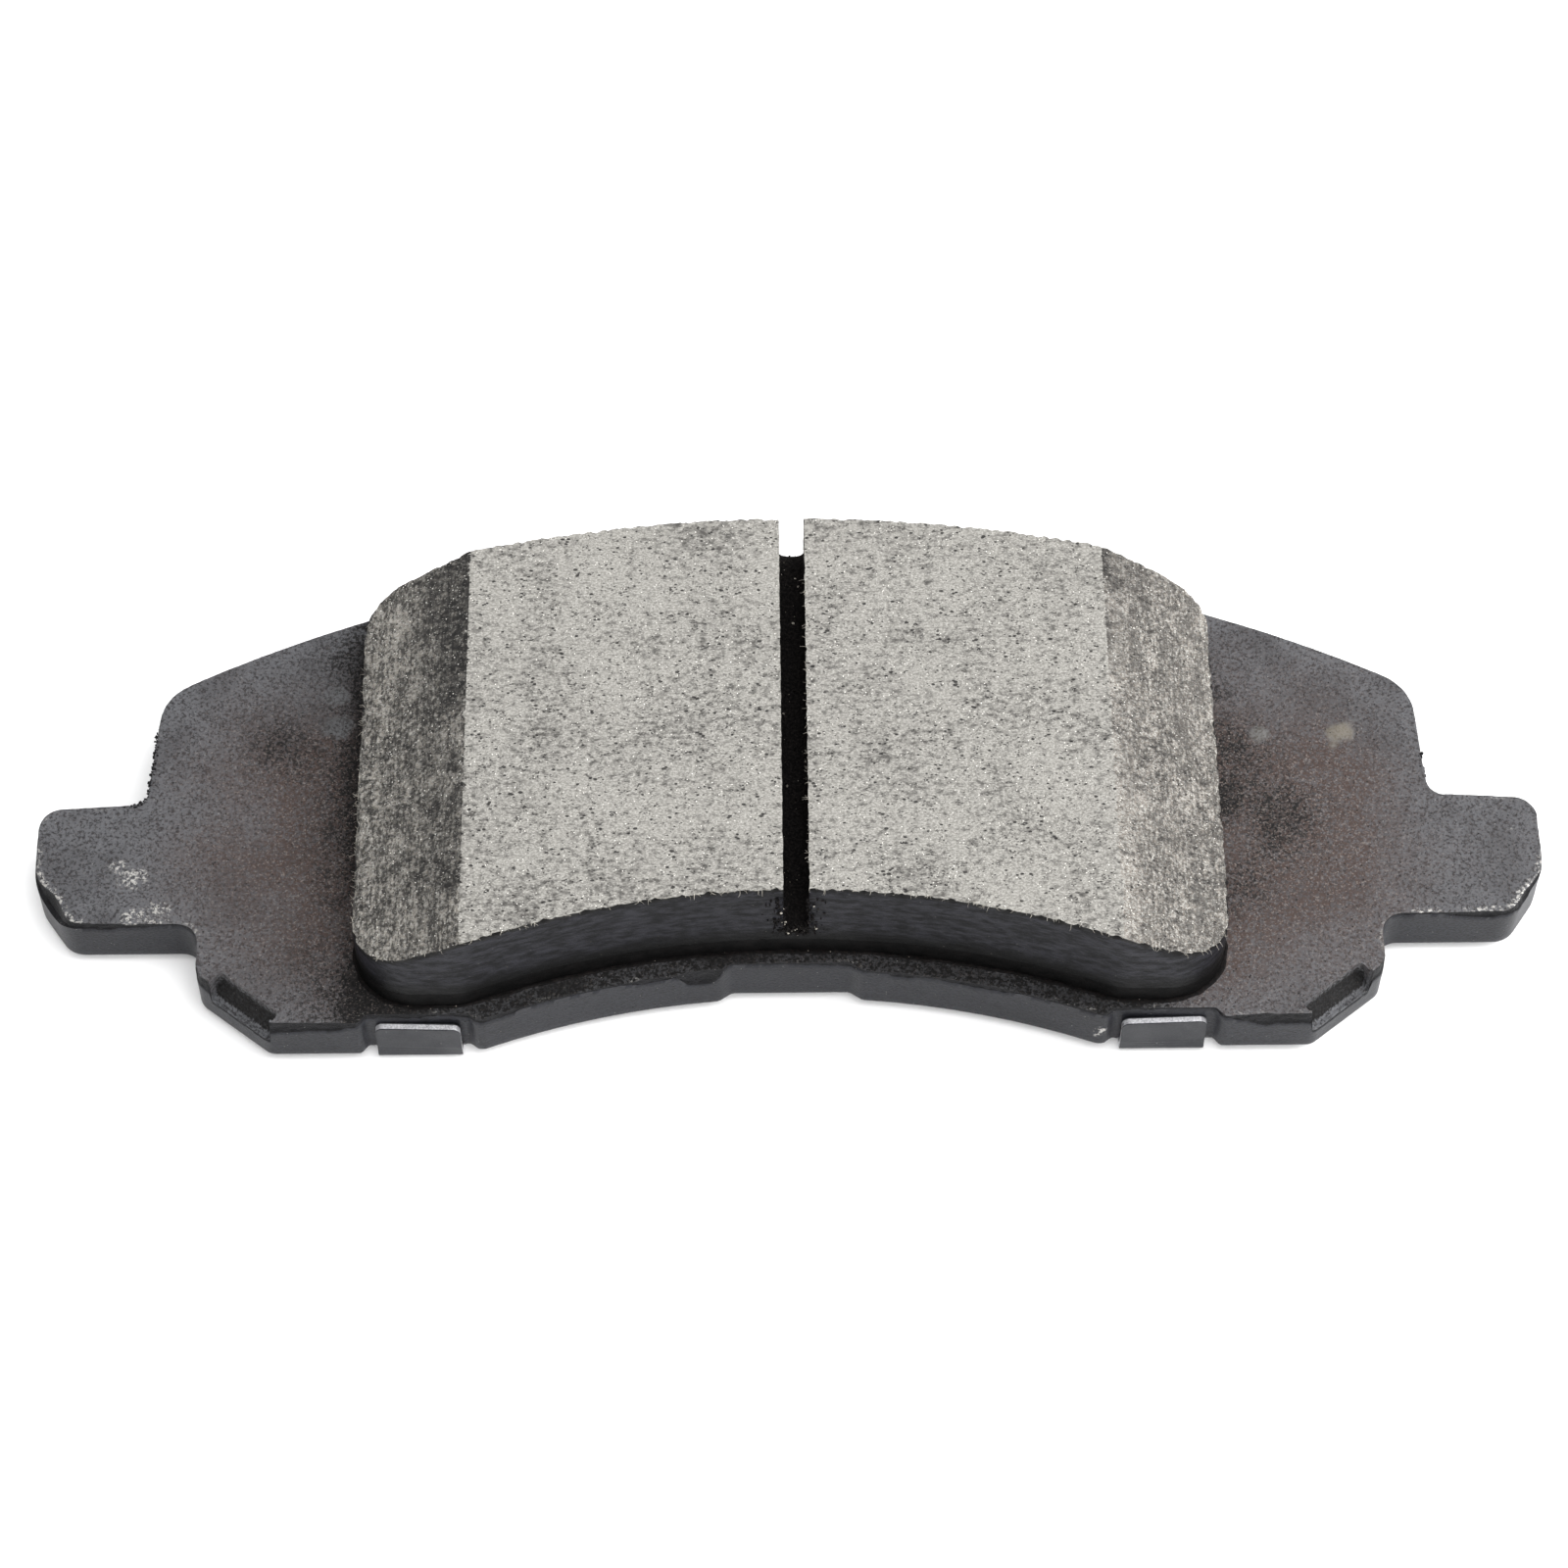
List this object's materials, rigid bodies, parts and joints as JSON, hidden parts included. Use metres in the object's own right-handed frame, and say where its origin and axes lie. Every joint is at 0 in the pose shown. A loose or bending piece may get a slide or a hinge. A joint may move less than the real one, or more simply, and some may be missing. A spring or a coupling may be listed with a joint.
{
  "type": "disc brake pad",
  "caption": "Disc brake pad: a stamped steel plate with two ears, a slotted friction block with sloped ends bonded on one side and a clipped noise shim on the other.",
  "frame": {"origin": "under the middle of the pad's bounding box, on the plane of the shim's outer face", "axes": "+X along the pad from ear to ear, +Y radially outward from the disc's axle, +Z square to the friction face and out of it, towards the disc"},
  "size_m": [0.1376, 0.05, 0.0172],
  "materials": {
    "painted_steel": "satin",
    "bond_resin": "satin",
    "underlayer_mix": "matte",
    "friction_mix": "matte",
    "film_adhesive": "satin",
    "shim_rubber": "matte",
    "shim_steel": "satin"
  },
  "bodies": {
    "root": {"backing_plate": "painted_steel", "bond_film": "bond_resin", "underlayer": "underlayer_mix", "friction_block": "friction_mix", "shim_adhesive": "film_adhesive", "shim_inner_coat": "shim_rubber", "shim_core": "shim_steel", "shim_outer_coat": "shim_rubber"}
  },
  "joints": []
}
